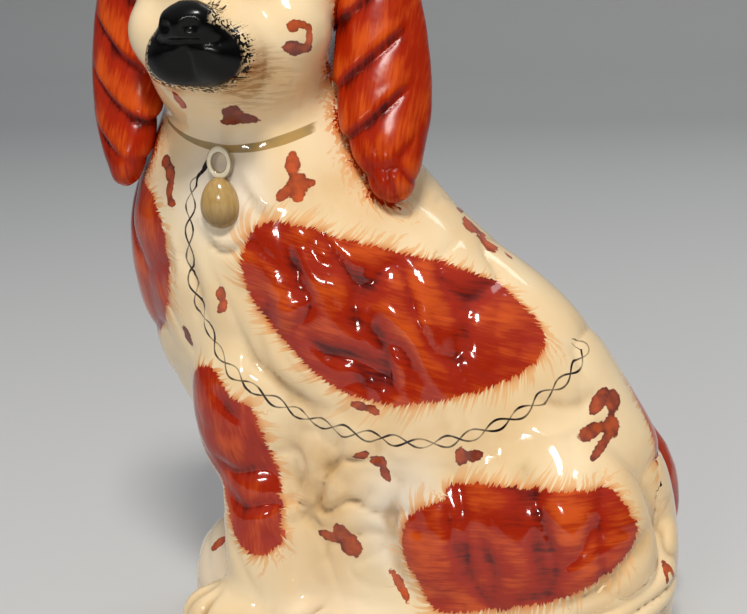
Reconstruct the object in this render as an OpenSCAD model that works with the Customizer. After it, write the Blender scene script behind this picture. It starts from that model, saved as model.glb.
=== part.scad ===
// Seated spaniel figurine in glazed earthenware: a hollow body and head pressed in front and
// back halves, closed by a base slab, with legs, hind feet, tail, ears and padlock luted on.
// Millimetres. X runs from the chest (-) to the rump (+), the face looks to -Y, Z is up.

/* [Overall] */
// Height of the figurine
fig_h = 320; // [256:1:400]
// Length from the chest to the rump
fig_w = 230; // [182:1:285]
// Depth from the near side to the far side, without the muzzle
fig_d = 108; // [87:1:135]

/* [Shell] */
// Thickness of the pressed clay wall
wall = 5; // [3.5:0.1:6.5]
// Thickness of the base slab
slab_t = 6; // [4:0.5:9]
// Radius of the firing vent in the base slab
vent_r = 5; // [3:0.5:8]
// Gap between the luted faces of two pieces
lute_gap = 0.1; // [0.05:0.05:0.3]

/* [Ears] */
// Width of an ear
ear_w = 37; // [29:1:45]
// Thickness of an ear
ear_t = 20; // [15:1:25]

/* [Padlock] */
// Width of the padlock body
lock_w = 15; // [12:0.5:18]
// Height of the padlock body
lock_h = 20; // [16:0.5:24]
// How far the padlock stands out of the chest
lock_t = 6; // [4:0.5:8]
// Radius of the roll of clay that makes the shackle
shackle_r = 1.4; // [0.9:0.1:1.8]

/* [Hidden] */

glaze = "#f1e6cf";
russet = "#a8401c";
gilt = "#9c8550";

// Scale from the drawing's own size to the size set above
sx = fig_w / 230;
sy = fig_d / 108;
sz = fig_h / 320;
far = 2 * max(fig_h, fig_w, fig_d);

// Trunk rings from the ground to the throat: height, front edge, back edge, half depth
trunk_rings = [
    [0, -62, 109, 48],
    [26, -64, 114, 50],
    [54, -68, 114, 51],
    [80, -78, 108, 51],
    [104, -93, 97, 51],
    [130, -104, 80, 52],
    [155, -109, 52, 52],
    [178, -109, 26, 50],
    [198, -102, 9, 46],
    [218, -92, -5, 41],
    [244, -84, -14, 34]
];

// Masses that swell out of the trunk: centre and half sizes
haunch = [[66, -31, 50], [46, 27, 50]];
knee = [[36, -35, 52], [29, 21, 38]];
heel = [[28, -44, 18], [30, 15, 16]];
hind_foot = [[-2, -47, 13], [30, 16, 15]];
near_shoulder = [[-50, -31, 104], [25, 22, 40]];
near_shin = [[-45, -35, 50], [18, 17, 54]];
near_paw = [[-56, -39, 14], [27, 18, 15]];
far_shoulder = [[-60, 28, 102], [26, 22, 40]];
far_shin = [[-62, 14, 44], [18, 20, 50]];
far_paw = [[-76, 8, 10], [21, 22, 30]];
skull = [[-50, -14, 272], [43, 40, 48]];
cheek = [[-50, -25, 240], [36, 34, 34]];
muzzle = [[-49, -52, 243], [23, 27, 19]];
nose_tip = [[-48, -74, 253], [14, 9, 10]];

// Where the clay pieces are parted
neck_z = 214 * sz;
neck_tilt = 10;
leg_cut = [-34 * sx, 0, 112 * sz];
foot_cut = [24 * sx, -34 * sy, 30 * sz];

// Footprint of the base slab: a slot of this half width and reach
slab_x = 21 * sx;
slab_r = 48 * sy - wall - 3;
slab_reach = 87 * sx - slab_r - wall - 8;

// Ear and tail places
right_ear_line = [[-5, -10, 298], [-1, -9, 272], [3, -12, 247], [7, -21, 217], [12, -31, 194]];
left_ear_line = [[-95, -10, 298], [-102, -9, 272], [-105, -12, 247], [-102, -21, 220], [-99, -31, 200]];
ear_swell = [[0.55, 0.6], [0.85, 0.9], [1, 1], [0.97, 1], [0.5, 0.7]];
ear_yaw = 28;
tail_line = [[97, 10, 76], [103, -8, 52], [102, -25, 35], [88, -40, 24], [70, -49, 15], [52, -52, 11]];
tail_radii = [7, 12, 15, 15, 12, 8];

// The padlock hangs by its bow, which reaches just over the luted neck joint
bow_r = lock_w * 0.3;
lock_hang = lock_h * 0.5 + bow_r * 2.08;
lock_at = [-51 * sx, -49 * sy, neck_z - 49 * sy * tan(neck_tilt) - lock_hang];
lock_tilt = 12;

// An ellipsoid from its centre and half sizes, made smaller by inset on every side
module mass(m, inset = 0) {
    translate([m[0].x * sx, m[0].y * sy, m[0].z * sz])
        hull()
            scale([m[1].x * sx - inset, m[1].y * sy - inset, m[1].z * sz - inset])
                sphere(1, $fn = 28);
}

// The same mass on the far side of the parting plane
module far_mass(m, inset = 0) {
    mirror([0, 1, 0])
        mass(m, inset);
}

// The trunk ring at a place between two drawn rings, on a smooth curve through all of them
function drawn(i) = trunk_rings[max(0, min(len(trunk_rings) - 1, i))];
function curve(a, b, c, d, u) =
    b + 0.5 * u * (c - a + u * (2 * a - 5 * b + 4 * c - d + u * (3 * (b - c) + d - a)));
function ring_at(k) =
    let (i = floor(k), u = k - i)
    curve(drawn(i - 1), drawn(i), drawn(i + 1), drawn(i + 2), u);

// One flat ring of the trunk
module ring(t, inset) {
    translate([(t[1] + t[2]) / 2 * sx, 0, t[0] * sz])
        linear_extrude(0.02)
            scale([(t[2] - t[1]) / 2 * sx - inset, t[3] * sy - inset])
                circle(1, $fn = 44);
}

module trunk(inset = 0) {
    for (k = [0 : 0.5 : len(trunk_rings) - 1.5])
        hull() {
            ring(ring_at(k), inset);
            ring(ring_at(k + 0.5), inset);
        }
}

// Everything above a height
module above(z) {
    translate([-far, -far, z])
        cube([2 * far, 2 * far, 2 * far]);
}

// The whole clay form without ears, tail and padlock, grown by extra on every side
module form(extra = 0) {
    intersection() {
        above(0);
        union() {
            trunk(-extra);
            mass(haunch, -extra);
            far_mass(haunch, -extra);
            mass(knee, -extra);
            far_mass(knee, -extra);
            mass(heel, -extra);
            far_mass(heel, -extra);
            mass(hind_foot, -extra);
            far_mass(hind_foot, -extra);
            mass(near_shoulder, -extra);
            mass(near_shin, -extra);
            mass(near_paw, -extra);
            mass(far_shoulder, -extra);
            mass(far_shin, -extra);
            mass(far_paw, -extra);
            mass(skull, -extra);
            mass(cheek, -extra);
            mass(muzzle, -extra);
            mass(nose_tip, -extra);
        }
    }
}

// The hollow inside the wall, with the seat of the base slab below it
module hollow() {
    intersection() {
        above(slab_t + lute_gap);
        union() {
            trunk(wall);
            mass(haunch, wall);
            far_mass(haunch, wall);
            mass(skull, wall);
            mass(cheek, wall);
        }
    }
    translate([0, 0, -1])
        slab_outline(slab_t + lute_gap + 1, lute_gap);
}

module slab_outline(height, extra = 0) {
    for (end = [-1, 1])
        translate([slab_x + end * slab_reach, 0, 0])
            cylinder(h = height, r = slab_r + extra, $fn = 96);
    translate([slab_x - slab_reach, -slab_r - extra, 0])
        cube([2 * slab_reach, 2 * (slab_r + extra), height]);
}

module shell() {
    difference() {
        form();
        hollow();
    }
}

// The near side (side 1) or the far side (side -1) of the parting plane
module side_block(side, gap) {
    y = side > 0 ? -2 * far - gap : gap;
    translate([-far, y, -far])
        cube([2 * far, 2 * far, 3 * far]);
}

// All that lies above the luted neck joint, under the collar line
module above_neck(gap = 0) {
    translate([0, 0, neck_z + gap])
        rotate([neck_tilt, 0, 0])
            translate([-far, -far, 0])
                cube([2 * far, 2 * far, 2 * far]);
}

// The block that a foreleg is cut from
module foreleg_block(grow = 0) {
    translate([-far, -far, -far])
        cube([far + leg_cut.x + grow, 2 * far, far + leg_cut.z + grow]);
}

// The block that a hind foot is cut from
module foot_block(side, grow = 0) {
    reach = far + foot_cut.y + grow;
    start_x = leg_cut.x + lute_gap - grow;
    translate([start_x, side > 0 ? -far : far - reach, -far])
        cube([foot_cut.x - leg_cut.x - lute_gap + 2 * grow, reach, far + foot_cut.z + grow]);
}

module body_half(side) {
    color(glaze)
        difference() {
            shell();
            side_block(-side, -lute_gap / 2);
            above_neck();
            foreleg_block(lute_gap);
            foot_block(side, lute_gap);
        }
}

module head_half(side) {
    color(glaze)
        difference() {
            intersection() {
                shell();
                above_neck(lute_gap);
            }
            side_block(-side, -lute_gap / 2);
        }
}

module foreleg(side) {
    color(russet)
        difference() {
            intersection() {
                shell();
                foreleg_block();
            }
            side_block(-side, -lute_gap / 2);
        }
}

module hind_foot_piece(side) {
    color(glaze)
        intersection() {
            shell();
            foot_block(side);
        }
}

module base_slab() {
    color(glaze)
        difference() {
            slab_outline(slab_t);
            translate([slab_x, 0, -1])
                cylinder(h = slab_t + 2, r = vent_r, $fn = 48);
        }
}

// An ear hangs along its line, swells towards the bottom and ends in a rounded tip
module ear_form(line, yaw) {
    for (i = [0 : len(line) - 2])
        hull()
            for (k = [i, i + 1])
                translate([line[k].x * sx, line[k].y * sy, line[k].z * sz])
                    rotate([0, 0, yaw])
                        scale([ear_w / 2 * ear_swell[k][0], ear_t / 2 * ear_swell[k][1], 11 * sz])
                            sphere(1, $fn = 28);
}

module ear(line, yaw) {
    color(russet)
        difference() {
            ear_form(line, yaw);
            form(lute_gap);
        }
}

// The tail runs down from the rump and lies forward along the near side
module tail() {
    color(glaze)
        difference() {
            intersection() {
                above(0);
                for (i = [0 : len(tail_line) - 2])
                    hull()
                        for (k = [i, i + 1])
                            translate([tail_line[k].x * sx, tail_line[k].y * sy, tail_line[k].z * sz])
                                sphere(tail_radii[k], $fn = 24);
            }
            form(lute_gap);
        }
}

module at_lock() {
    translate(lock_at)
        rotate([-lock_tilt, 0, 0])
            children();
}

// An egg-shaped sprig, wider at the bottom
module padlock_form(extra = 0) {
    at_lock()
        hull() {
            translate([0, 0, -lock_h * 0.14])
                scale([lock_w / 2 + extra, lock_t + extra, lock_h * 0.36 + extra])
                    sphere(1, $fn = 24);
            translate([0, 0, lock_h * 0.2])
                scale([lock_w * 0.36 + extra, lock_t * 0.9 + extra, lock_h * 0.3 + extra])
                    sphere(1, $fn = 24);
        }
}

module padlock() {
    color(gilt)
        difference() {
            padlock_form();
            form(lute_gap);
        }
}

// The bow of the padlock, an upright loop of rolled clay
module shackle_form() {
    at_lock()
        translate([0, -lock_t * 0.25, lock_h * 0.5 + bow_r])
            scale([1, 1, 1.25])
                rotate([90, 0, 0])
                    rotate_extrude($fn = 28)
                        translate([bow_r, 0])
                            circle(shackle_r, $fn = 14);
}

module padlock_shackle() {
    color(gilt)
        difference() {
            shackle_form();
            padlock_form(lute_gap);
            form(lute_gap);
        }
}

body_half(1);  // body_front_half
body_half(-1);  // body_back_half
head_half(1);  // head_face_half
head_half(-1);  // head_back_half
base_slab();
foreleg(1);  // near_foreleg
foreleg(-1);  // far_foreleg
hind_foot_piece(1);  // near_hind_foot
hind_foot_piece(-1);  // far_hind_foot
tail();
ear(right_ear_line, ear_yaw);  // right_ear
ear(left_ear_line, -ear_yaw);  // left_ear
padlock();
padlock_shackle();
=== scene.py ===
# Seated spaniel mantel figurine: hollow pressed earthenware, painted in iron red, gilt and black
# under a clear lead glaze. Shapes are drawn in millimetres (x chest to rump, y near to far,
# z up) and laid into the frame at the end.
import math
import bpy
import bmesh
import numpy as np
from mathutils import Euler, Matrix, Vector
from mathutils.bvhtree import BVHTree


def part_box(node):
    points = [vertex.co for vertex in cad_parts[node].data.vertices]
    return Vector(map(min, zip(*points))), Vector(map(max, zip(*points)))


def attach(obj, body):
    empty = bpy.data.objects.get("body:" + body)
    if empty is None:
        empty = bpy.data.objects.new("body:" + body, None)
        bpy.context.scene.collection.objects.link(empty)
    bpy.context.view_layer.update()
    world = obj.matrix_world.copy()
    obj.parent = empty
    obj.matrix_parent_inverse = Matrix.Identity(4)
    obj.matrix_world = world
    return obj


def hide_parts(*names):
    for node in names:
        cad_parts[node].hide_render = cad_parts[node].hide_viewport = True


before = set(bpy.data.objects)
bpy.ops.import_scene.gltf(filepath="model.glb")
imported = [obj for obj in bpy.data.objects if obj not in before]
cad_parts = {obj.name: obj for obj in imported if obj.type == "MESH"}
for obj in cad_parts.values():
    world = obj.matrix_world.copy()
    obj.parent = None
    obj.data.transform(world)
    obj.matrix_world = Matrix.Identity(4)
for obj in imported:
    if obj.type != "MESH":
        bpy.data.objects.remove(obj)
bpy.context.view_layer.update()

# ------------------------------------------------------------------ sizes from the frame
DRAWN_BODY = np.array([224.4, 117.8, 320.0])   # the drawing's own body length, depth and height
near_low, near_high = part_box("body_front_half")
far_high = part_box("body_back_half")[1]
head_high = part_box("head_face_half")[1]
real_body = np.array([near_high.x - near_low.x, far_high.y - near_low.y, head_high.z])
METRES = real_body / DRAWN_BODY

WALL = 5.0                 # pressed clay wall
INNER_Z = 0.6              # lowest height of the wall's inner side
NECK_Z = 214.0             # luted neck joint on the body's axis
NECK_TILT = math.radians(10)
LEG_X = -34.0              # a foreleg is parted in front of this
LEG_Z = 112.0              # and below this
FOOT_X = 24.0              # a hind foot is parted from the leg's joint to this
FOOT_Y = 34.0              # further out than this
FOOT_Z = 30.0              # and below this
CUT_REACH = 3.0            # how far a cut runs past the piece it parts
NO_PAINT = -50.0           # far outside any painted outline


# ------------------------------------------------------------------ helpers for shaping
def smooth_line(points, steps, closed=False):
    """Dense points on a smooth curve through the given ones."""
    given = np.array(points, float)
    count = len(given)
    dense = []
    for i in range(count if closed else count - 1):
        near_by = [k % count if closed else min(max(k, 0), count - 1) for k in (i - 1, i, i + 1, i + 2)]
        a, b, c, d = given[near_by]
        for t in np.arange(steps) / steps:
            bend = (2 * a - 5 * b + 4 * c - d) * t * t + (3 * b - a - 3 * c + d) * t ** 3
            dense.append(b + 0.5 * ((c - a) * t + bend))
    if not closed:
        dense.append(given[-1])
    return np.array(dense)


def lump(bm, centre, half, turn=0.0, lean=0.0):
    """An egg of clay, turned about the vertical and leaned in the side view."""
    place = Matrix.Translation(centre) @ Euler((0, lean, turn)).to_matrix().to_4x4()
    place = place @ Matrix.Diagonal((*half, 1))
    bmesh.ops.create_icosphere(bm, subdivisions=4, radius=1.0, matrix=place)


def roll(bm, line, radii, steps=6):
    """A roll of clay along a line, made of many close lumps."""
    path = smooth_line([list(p) + [r] for p, r in zip(line, radii)], steps)
    for x, y, z, r in path:
        bmesh.ops.create_icosphere(bm, subdivisions=3, radius=r, matrix=Matrix.Translation((x, y, z)))


def edges_at(verts):
    return list({edge for vert in verts for edge in vert.link_edges})


def loft(bm, rings):
    """A closed body through level rings: height, front edge, back edge, half depth."""
    loops = []
    for z, front, back, deep in rings:
        place = Matrix.Translation(((front + back) / 2, 0, z))
        place = place @ Matrix.Diagonal(((back - front) / 2, deep, 1, 1))
        made = bmesh.ops.create_circle(bm, segments=64, radius=1.0, matrix=place)
        loops.append(edges_at(made["verts"]))
    for lower, upper in zip(loops, loops[1:]):
        bmesh.ops.bridge_loops(bm, edges=lower + upper)
    bmesh.ops.holes_fill(bm, edges=loops[0] + loops[-1])


def piece_from(name, bm):
    """A piece of the finished geometry, which is then let go."""
    mesh = bpy.data.meshes.new(name)
    bm.to_mesh(mesh)
    bm.free()
    piece = bpy.data.objects.new(name, mesh)
    bpy.context.collection.objects.link(piece)
    return piece


def settled(piece):
    """Applies a piece's modifiers."""
    view = bpy.context.evaluated_depsgraph_get()
    mesh = bpy.data.meshes.new_from_object(piece.evaluated_get(view))
    piece.modifiers.clear()
    piece.data = mesh
    return piece


def skinned(name, build, passes):
    """One skin over all the lumps that build lays down. passes are grain size and smoothing rounds."""
    bm = bmesh.new()
    build(bm)
    bmesh.ops.recalc_face_normals(bm, faces=bm.faces)
    piece = piece_from(name, bm)
    for grain, rounds in passes:
        remesh = piece.modifiers.new("skin", "REMESH")
        remesh.mode = "VOXEL"
        remesh.voxel_size = grain
        relax = piece.modifiers.new("relax", "SMOOTH")
        relax.factor = 0.5
        relax.iterations = rounds
    return settled(piece)


def points_of(mesh):
    found = np.empty(len(mesh.vertices) * 3, np.float32)
    mesh.vertices.foreach_get("co", found)
    return found.reshape(-1, 3).astype(float)


def normals_of(mesh):
    found = np.empty(len(mesh.vertices) * 3, np.float32)
    mesh.vertex_normals.foreach_get("vector", found)
    return found.reshape(-1, 3).astype(float)


def move_points(mesh, places):
    mesh.vertices.foreach_set("co", places.astype(np.float32).ravel())
    mesh.update()


def smoothed(mesh):
    mesh.polygons.foreach_set("use_smooth", np.ones(len(mesh.polygons), bool))


def hashed(cell, seed):
    """An even spread of numbers from 0 to 1, always the same for the same cell and seed."""
    mixed = np.sin(cell[:, 0] * 127.1 + cell[:, 1] * 311.7 + cell[:, 2] * 74.7 + seed * 53.3) * 43758.5453
    return mixed - np.floor(mixed)


def noise(places, seed=0):
    """Smooth noise from -1 to 1 with a grain of one unit."""
    cell = np.floor(places)
    part = places - cell
    ease = part ** 3 * (part * (part * 6 - 15) + 10)
    total = np.zeros(len(places))
    for corner in np.ndindex(2, 2, 2):
        share = np.prod(np.where(np.array(corner) == 1, ease, 1 - ease), axis=1)
        total += share * hashed(cell + corner, seed)
    return total * 2 - 1


def near(places, centre, reach):
    """1 at the centre of an egg, easing to 0 at its surface."""
    gone = (((places - np.array(centre, float)) / np.array(reach, float)) ** 2).sum(1)
    return np.clip(1 - gone, 0, 1) ** 1.5


def locks(places, lean, across, along, seed):
    """Soft mounds of coat with sharp creases, running at a lean from straight down in the side view."""
    c, s = math.cos(lean), math.sin(lean)
    drift = noise(places / 26, seed + 7) * 0.55
    u = (places[:, 0] * c + places[:, 2] * s) / across + drift
    v = (places[:, 2] * c - places[:, 0] * s) / along
    w = places[:, 1] / 42
    mound = np.abs(noise(np.stack([u, v, w], 1), seed))
    return np.sqrt(np.clip(mound, 0, 1)) - 0.5


def curls(places, grain, seed):
    """Curly mounds with no direction."""
    stir = np.stack([noise(places / (grain * 1.6), seed + k) for k in (1, 2, 3)], 1)
    mound = np.abs(noise(places / grain + stir * 0.9, seed))
    return np.sqrt(mound) - 0.5


# ------------------------------------------------------------------ the clay form
# Rings of the trunk: height, front edge, back edge, half depth
TRUNK = [
    (0, -62, 109, 48), (26, -64, 114, 50), (54, -68, 114, 51), (80, -78, 108, 51),
    (104, -93, 97, 51), (130, -104, 80, 52), (155, -109, 52, 52), (178, -109, 26, 50),
    (198, -102, 9, 46), (218, -92, -5, 41), (244, -84, -14, 34),
]
EYES = [(-65.5, -49, 276), (-34.5, -49, 276)]


def lay_form(bm):
    loft(bm, smooth_line(TRUNK, 3))
    for side in (-1, 1):
        lump(bm, (66, 31 * side, 50), (46, 27, 50))             # haunch
        lump(bm, (36, 35 * side, 52), (29, 21, 38))             # front of the thigh
        lump(bm, (28, 44 * side, 18), (30, 15, 16))             # hock
        lump(bm, (-2, 47 * side, 13), (30, 16, 15))             # hind foot
        lump(bm, (-50 + 26 * side, -34, 250), (15, 17, 16))     # cheek
        lump(bm, (-49 + 9 * side, -60, 242), (13, 17, 13))      # lip
    lump(bm, (-50, -31, 104), (25, 22, 40))                     # near shoulder
    lump(bm, (-45, -35, 50), (18, 17, 54))                      # near foreleg
    lump(bm, (-56, -39, 14), (27, 18, 15))                      # near paw
    lump(bm, (-60, 28, 102), (26, 22, 40))                      # far shoulder
    lump(bm, (-62, 14, 44), (18, 20, 50))                       # far foreleg
    lump(bm, (-76, 8, 10), (21, 22, 30))                        # far paw
    lump(bm, (-50, -14, 272), (43, 40, 48))                     # skull
    lump(bm, (-50, -25, 240), (36, 34, 34))                     # jaw
    lump(bm, (-49, -50, 244), (21, 25, 18))                     # muzzle
    lump(bm, (-48, -73, 254), (13, 9, 9))                       # nose


def shape_face(places):
    """Eyes, brows, nostrils, lips and furrows, as pushes along the skin."""
    push = np.zeros(len(places))
    for eye in EYES:
        out = math.copysign(1, eye[0] + 50)
        ball = (eye[0], eye[1] - 2, eye[2] - 0.5)
        brow = (eye[0] + 1.5 * out, eye[1], eye[2] + 11)
        push -= 3.4 * near(places, eye, (12, 16, 9))
        push += 3.6 * near(places, ball, (6.5, 12, 5.5))
        push += 2.4 * near(places, brow, (13, 18, 6))
        push -= 2.2 * near(places, (-50 + 5.5 * out, -82, 253), (4, 6, 3.4))    # nostril
        push += 1.6 * near(places, (-50 + 15 * out, -60, 238), (9, 14, 9))      # hanging lip
    push -= 2.0 * near(places, (-50, -50, 296), (4, 30, 24))                    # furrow of the brow
    push -= 1.8 * near(places, (-49, -75, 241), (2.2, 12, 9))                   # groove of the lip
    push -= 2.6 * near(places, (-48, -70, 247), (18, 22, 2.4))                  # under the nose
    return push


def toe_grooves(places, centre, reach, facing):
    """Three grooves that fan out between the toes of a paw facing an angle in degrees."""
    aside = (places[:, :2] - np.array(centre[:2])) / reach
    far_out = np.linalg.norm(aside, axis=1)
    angle = np.arctan2(aside[:, 1], aside[:, 0]) - math.radians(facing)
    angle = (angle + math.pi) % math.tau - math.pi
    fade = np.clip((far_out - 0.35) / 0.3, 0, 1) * (far_out < 1.35)
    fade *= np.clip((centre[2] * 2 + 6 - places[:, 2]) / 8, 0, 1)
    push = np.zeros(len(places))
    for k in (-1, 0, 1):
        across = (angle - 0.52 * k) * far_out * reach
        push -= 2.6 * np.exp(-(across / 1.6) ** 2) * fade * (np.abs(angle) < 1.4)
    return push


# Folds modelled in the coat: height, half width, and their line (x, z) in the side view
FOLDS = [
    (-2.2, 2.6, [(-22, 170), (-21, 158), (-18, 151)]),
    (-2.6, 3.6, [(-18, 136), (-10, 130), (0, 128), (9, 123), (15, 117)]),
    (-2.2, 2.8, [(8, 142), (12, 130), (13, 115)]),
    (-1.8, 3.2, [(-16, 174), (-13, 165), (-5, 160)]),
    (-2.4, 2.8, [(14, 136), (21, 128), (23, 115)]),
    (-1.6, 3.0, [(39, 140), (38, 128), (43, 115)]),
    (-1.8, 3.0, [(-38, 146), (-30, 138), (-26, 128)]),
    (-1.8, 2.8, [(4, 162), (1, 149), (3, 139)]),
    (1.6, 4.0, [(24, 160), (27, 148), (26, 136)]),
    (1.4, 3.4, [(-30, 160), (-27, 148), (-22, 142)]),
    (-2.4, 3.4, [(-47, 134), (-42, 126), (-35, 119), (-26, 112), (-12, 107), (0, 105)]),
    (1.8, 1.8, [(-60, 180), (-54, 172.5), (-48, 171), (-43, 173), (-38, 180)]),
    (-1.6, 1.8, [(-59, 174), (-53, 168), (-47, 167.5), (-41, 171)]),
    (1.6, 2.2, [(-41, 196), (-36, 189), (-31, 183)]),
    (-1.6, 2.0, [(-45, 196), (-40, 188), (-34, 180)]),
    (-1.5, 1.8, [(-18, 75), (-19, 67), (-13, 62)]),
    (-1.5, 1.8, [(-18, 80), (-10, 85), (-2, 87)]),
    (-1.4, 1.8, [(-6, 69), (2, 72), (6, 78)]),
    (-1.4, 1.8, [(-30, 92), (-24, 86), (-24, 78), (-29, 72)]),
    (1.3, 2.4, [(-12, 78), (-8, 74), (-12, 69)]),
    (-1.2, 1.8, [(-28, 62), (-20, 58), (-12, 58)]),
    (-1.8, 2.4, [(-60, 84), (-52, 79), (-38, 81)]),
    (-1.8, 2.4, [(-56, 70), (-48, 65), (-36, 67)]),
    (-1.4, 2.0, [(-58, 112), (-52, 106), (-46, 100)]),
    (-2.0, 2.8, [(35, 72), (38, 60), (41, 47)]),
    (-2.0, 2.8, [(48, 64), (53, 50), (54, 40)]),
    (-2.2, 2.8, [(70, 66), (71, 54), (73, 44)]),
    (-2.0, 2.8, [(90, 70), (87, 61), (80, 53)]),
    (-2.4, 3.0, [(17, 80), (13, 66), (14, 48), (18, 38)]),
    (-2.8, 2.6, [(74, 36), (92, 44), (104, 55), (110, 66)]),
    (-1.8, 3.0, [(46, 178), (58, 166), (66, 152)]),
    (-1.6, 3.0, [(66, 112), (78, 108), (88, 110)]),
    (1.6, 3.4, [(62, 100), (74, 98), (88, 102)]),
    (-1.6, 2.6, [(-68, 168), (-64, 152), (-66, 138)]),
    (1.4, 3.0, [(-75, 176), (-72, 160), (-75, 146)]),
]


def fold_relief(places, normals):
    """Height of the folds, on both sides of the body."""
    height = np.zeros(len(places))
    for near_side, share, shift in ((True, 1.0, (0, 0)), (False, 0.8, (6, -3))):
        sided = (places[:, 1] < -14) if near_side else (places[:, 1] > 14)
        index = np.flatnonzero(sided)
        flat = places[index][:, [0, 2]]
        for tall, half, line in FOLDS:
            path = smooth_line([(x + shift[0], z + shift[1]) for x, z in line], 8)
            reach = np.ptp(path, axis=0) / 2 + half * 4
            close = np.flatnonzero((np.abs(flat - path.mean(0)) < reach).all(1))
            if not len(close):
                continue
            apart = ((flat[close][:, None] - path[None]) ** 2).sum(2)
            nearest = apart.argmin(1)
            gap = np.sqrt(apart[np.arange(len(close)), nearest])
            taper = np.minimum(1, 0.35 + 2.6 * np.minimum(nearest, len(path) - 1 - nearest) / len(path))
            rise = tall * share * taper * np.exp(-(gap / half) ** 1.5)
            height[index[close]] += rise
    return height * np.clip(1.6 * np.abs(normals[:, 1]), 0, 1)


def coat_relief(places, normals):
    """The modelled coat: height in millimetres over the smooth form."""
    both = np.abs(places[:, 1])
    folded = np.stack([places[:, 0], both, places[:, 2]], 1)
    height = 1.0 * locks(places, 0.5, 12, 32, 1) * np.clip((235 - places[:, 2]) / 30, 0, 1)
    height += 4.4 * near(folded, (12, 48, 146), (84, 50, 50)) * locks(places, 0.30, 15, 44, 2)
    height += 4.6 * near(folded, (64, 52, 58), (66, 36, 50)) * locks(places, 0.1, 15, 56, 3)
    height += 4.0 * near(folded, (-8, 50, 70), (42, 32, 50)) * curls(places, 12, 4)
    height += 4.4 * near(places, (-98, 0, 150), (46, 60, 66)) * locks(places, -0.1, 12, 34, 5)
    height += 2.6 * near(folded, (-46, 44, 84), (24, 24, 56)) * locks(places, 0.12, 13, 60, 6)
    height += 3.6 * near(places, (70, 0, 160), (90, 64, 70)) * locks(places, 0.9, 14, 40, 8)
    height += 3.0 * near(places, (112, 0, 70), (30, 50, 60)) * locks(places, 0.0, 14, 50, 9)
    return height + fold_relief(places, normals)


def clay_body():
    body = skinned("clay_body", lay_form, [(3.4, 7), (1.7, 4)])
    places = points_of(body.data)
    normals = normals_of(body.data)
    places += normals * shape_face(places)[:, None]
    relief = coat_relief(places, normals)
    relief += toe_grooves(places, (-56, -39, 14), 24, 200)
    relief += toe_grooves(places, (-76, 8, 12), 21, 180)
    relief += toe_grooves(places, (-6, -47, 13), 24, 188)
    relief += toe_grooves(places, (-6, 47, 13), 24, 172)
    places += normals * relief[:, None]
    places[:, 2] = np.maximum(places[:, 2], 0)
    move_points(body.data, places)
    return body, relief


# ------------------------------------------------------------------ the pieces laid on
EAR_WIDTH = 37.0
EAR_DEEP = 20.0
EAR_YAW = math.radians(28)
EAR_SWELL = [(0.55, 0.6), (0.85, 0.9), (1, 1), (1, 1), (0.52, 0.7)]    # shares of width and depth
# Each ear: which way it faces, and its middle line from root to tip
EARS = {
    "right_ear": (1, [(-5, -10, 298), (-1, -9, 272), (3, -12, 247), (7, -21, 217), (12, -31, 194)]),
    "left_ear": (-1, [(-95, -10, 298), (-102, -9, 272), (-105, -12, 247), (-102, -21, 220),
                      (-99, -31, 200)]),
}
EAR_STEP = {"right_ear": 10.0, "left_ear": 4.0}      # where the row of folds starts
FOLD_PITCH = 21.0          # from one fold of an ear to the next
TAIL_LINE = [(97, 10, 76), (103, -8, 52), (102, -25, 35), (88, -40, 24), (70, -49, 15),
             (52, -52, 11)]
TAIL_RADII = [7, 12, 15, 15, 12, 8]
LOCK_DEEP = 6.0            # half depth of the padlock, before its back is pressed flat
WIRE = 1.15                # radius of the shackle's roll
BOW_WIDTH = 0.88           # the shackle's width as a share of its box
BOW_SHIFT = 0.5            # towards the rump


def hugging(piece, host, gap=0.12):
    """Presses the hidden side of a laid-on piece flat against the clay under it."""
    places = points_of(piece.data)
    for i, place in enumerate(places):
        spot, normal, _, _ = host.find_nearest(Vector(place))
        if (Vector(place) - spot).dot(normal) < gap:
            places[i] = spot + normal * gap
    move_points(piece.data, places)


def clay_ear(name, host):
    side, line = EARS[name]
    path = smooth_line([list(p) + list(w) for p, w in zip(line, EAR_SWELL)], 8)

    def lay(bm):
        for x, y, z, wide, deep in path:
            lump(bm, (x, y, z), (EAR_WIDTH / 2 * wide, EAR_DEEP / 2 * deep, 11), turn=side * EAR_YAW)

    ear = skinned(name, lay, [(2.4, 5), (1.3, 3)])
    places = points_of(ear.data)
    normals = normals_of(ear.data)
    order = np.argsort(path[:, 2])
    middle = np.stack([np.interp(places[:, 2], path[order, 2], path[order, k]) for k in (0, 1)], 1)
    outward = (places[:, :2] - middle) @ np.array([math.cos(EAR_YAW) * side, math.sin(EAR_YAW)])
    share = outward / (EAR_WIDTH / 2)
    rise = (places[:, 2] - 0.8 * outward + 2.5 * noise(places / 26, 31) + EAR_STEP[name]) / FOLD_PITCH
    part = rise - np.floor(rise)
    mound = np.sin(math.pi * np.minimum(1, part / 0.24) / 2) * (1 - part) ** 0.5 - 0.55
    fade = np.clip((0.55 - share) / 0.4, 0, 1) * np.clip((share + 1.25) / 0.4, 0.4, 1)
    low = np.clip((212 - places[:, 2]) / 14, 0, 1)
    strands = locks(places, 0.25 * side, 8, 34, 33)
    height = 3.6 * mound * fade * (1 - 0.85 * low) + (0.4 + 2.2 * low) * strands
    # painted shade in each fold's crease and painted highlight on its rise, handed to the paint as relief
    shade = 1.3 * height - 1.6 * np.exp(-((part - 0.05) / 0.12) ** 2) * fade * (1 - low)
    height *= np.clip((places[:, 2] - 184) / 8, 0.3, 1)
    move_points(ear.data, places + normals * height[:, None])
    hugging(ear, host)
    return ear, shade


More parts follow.
